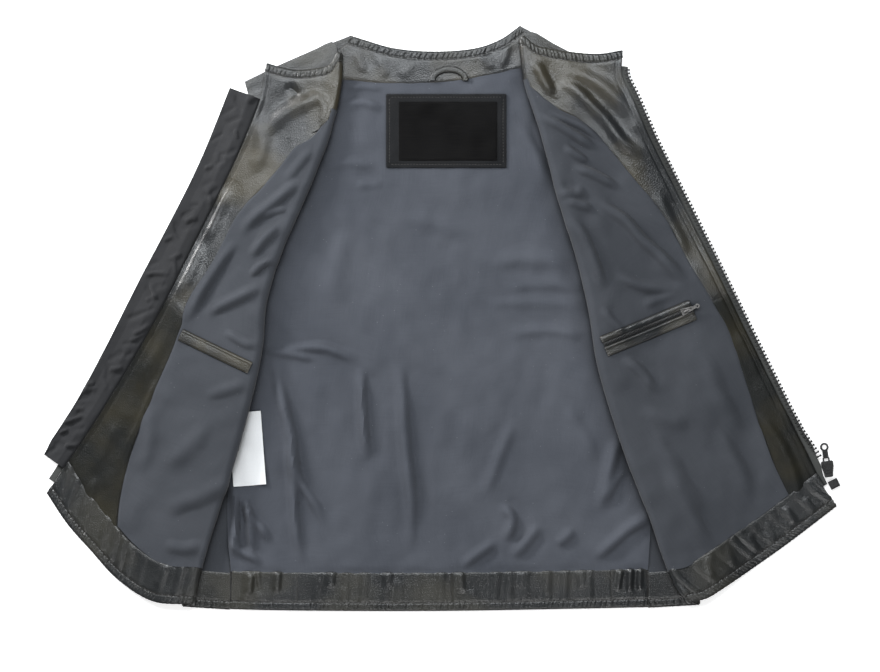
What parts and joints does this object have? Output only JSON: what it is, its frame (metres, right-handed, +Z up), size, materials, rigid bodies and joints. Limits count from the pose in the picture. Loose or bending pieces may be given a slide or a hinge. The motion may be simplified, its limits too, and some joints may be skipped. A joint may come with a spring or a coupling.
{
  "type": "leather vest",
  "caption": "Sleeveless black leather vest with a front zip, laid open on its back with both fronts folded outwards.",
  "frame": {"origin": "on the table under the middle of the back, on the flat outer face of the back panel", "axes": "+X towards the wearer's left, +Y towards the neck, +Z up from the table, out of the lining"},
  "size_m": [0.8766, 0.6452, 0.0227],
  "materials": {
    "black_leather": "semi-gloss grain",
    "lining_cotton": "matt plain weave",
    "flap_cotton": "matt plain weave",
    "label_satin": "satin",
    "care_label_cloth": "matt",
    "zip_tape": "matt weave",
    "zip_plastic": "satin",
    "zip_metal": "dark plated"
  },
  "bodies": {
    "vest": {"back_shell": "black_leather", "back_neck_facing": "black_leather", "back_neck_edge": "black_leather", "back_hem_edge": "black_leather", "back_hem_facing_1": "black_leather", "back_hem_facing_2": "black_leather", "back_hem_facing_3": "black_leather", "back_hem_facing_4": "black_leather", "right_front_shell": "black_leather", "right_front_facing_upper": "black_leather", "right_front_facing_lower": "black_leather", "left_front_shell": "black_leather", "left_front_facing_upper": "black_leather", "left_front_facing_lower": "black_leather", "right_neck_edge": "black_leather", "right_hem_edge": "black_leather", "right_hem_facing": "black_leather", "left_neck_edge": "black_leather", "left_hem_edge": "black_leather", "left_hem_facing": "black_leather", "label_frame": "black_leather", "hanger_loop": "black_leather", "left_pocket_welt_upper": "black_leather", "left_pocket_welt_lower": "black_leather", "right_pocket_welt": "black_leather", "back_lining": "lining_cotton", "right_front_lining": "lining_cotton", "left_front_lining": "lining_cotton", "wind_flap": "flap_cotton", "label_face": "label_satin", "care_label": "care_label_cloth", "right_zip_tape": "zip_tape", "left_zip_tape": "zip_tape", "right_zip_chain": "zip_plastic", "right_zip_pin": "zip_plastic", "left_zip_chain": "zip_plastic", "zip_slider": "zip_plastic", "zip_retainer_box": "zip_plastic", "pocket_zip_chain": "zip_plastic", "pocket_zip_slider": "zip_metal"},
    "zip_pull_tab": {"zip_pull": "zip_plastic"},
    "pocket_pull_tab": {"pocket_zip_pull": "zip_metal"}
  },
  "joints": [
    {"name": "zip_pull_swing", "type": "hinge", "parent": "vest", "child": "zip_pull_tab", "pos_m": [0.42415, -0.16513, 0.00235], "axis": [-0.9903, -0.1392, 0], "range_deg": [0, 160]},
    {"name": "pocket_pull_swing", "type": "hinge", "parent": "vest", "child": "pocket_pull_tab", "pos_m": [0.26993, 0.00566, 0.01516], "axis": [0.3859, -0.9225, -0.0039], "range_deg": [0, 170]}
  ]
}
